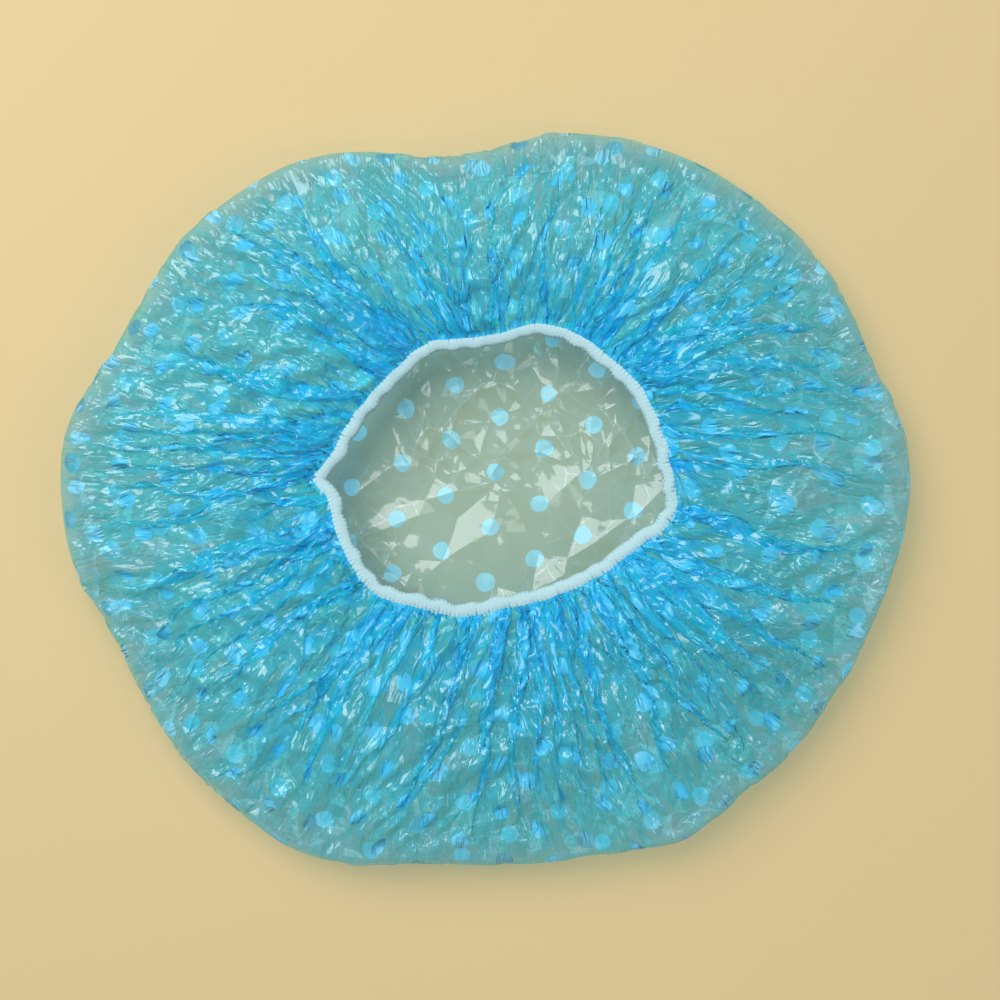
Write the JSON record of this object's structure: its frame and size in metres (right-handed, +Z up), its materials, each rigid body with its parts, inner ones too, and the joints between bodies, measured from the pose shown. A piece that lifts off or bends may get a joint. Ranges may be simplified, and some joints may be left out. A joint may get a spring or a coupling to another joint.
{
  "type": "shower cap",
  "caption": "Disposable shower cap of thin dotted film with a gathered, overlocked elastic mouth, lying on its crown with the mouth up.",
  "frame": {"origin": "on the floor under the middle of the cap's outline", "axes": "+Z up out of the mouth, +X along the cap's longest width, +Y away from the side nearest the viewer"},
  "size_m": [0.279, 0.241, 0.0308],
  "materials": {
    "film": "gloss",
    "elastic": "matte",
    "thread": "matte"
  },
  "bodies": {
    "root": {"cap_film": "film", "hem_elastic": "elastic", "upper_looper_thread": "thread", "lower_looper_thread": "thread", "needle_thread": "thread"}
  },
  "joints": []
}
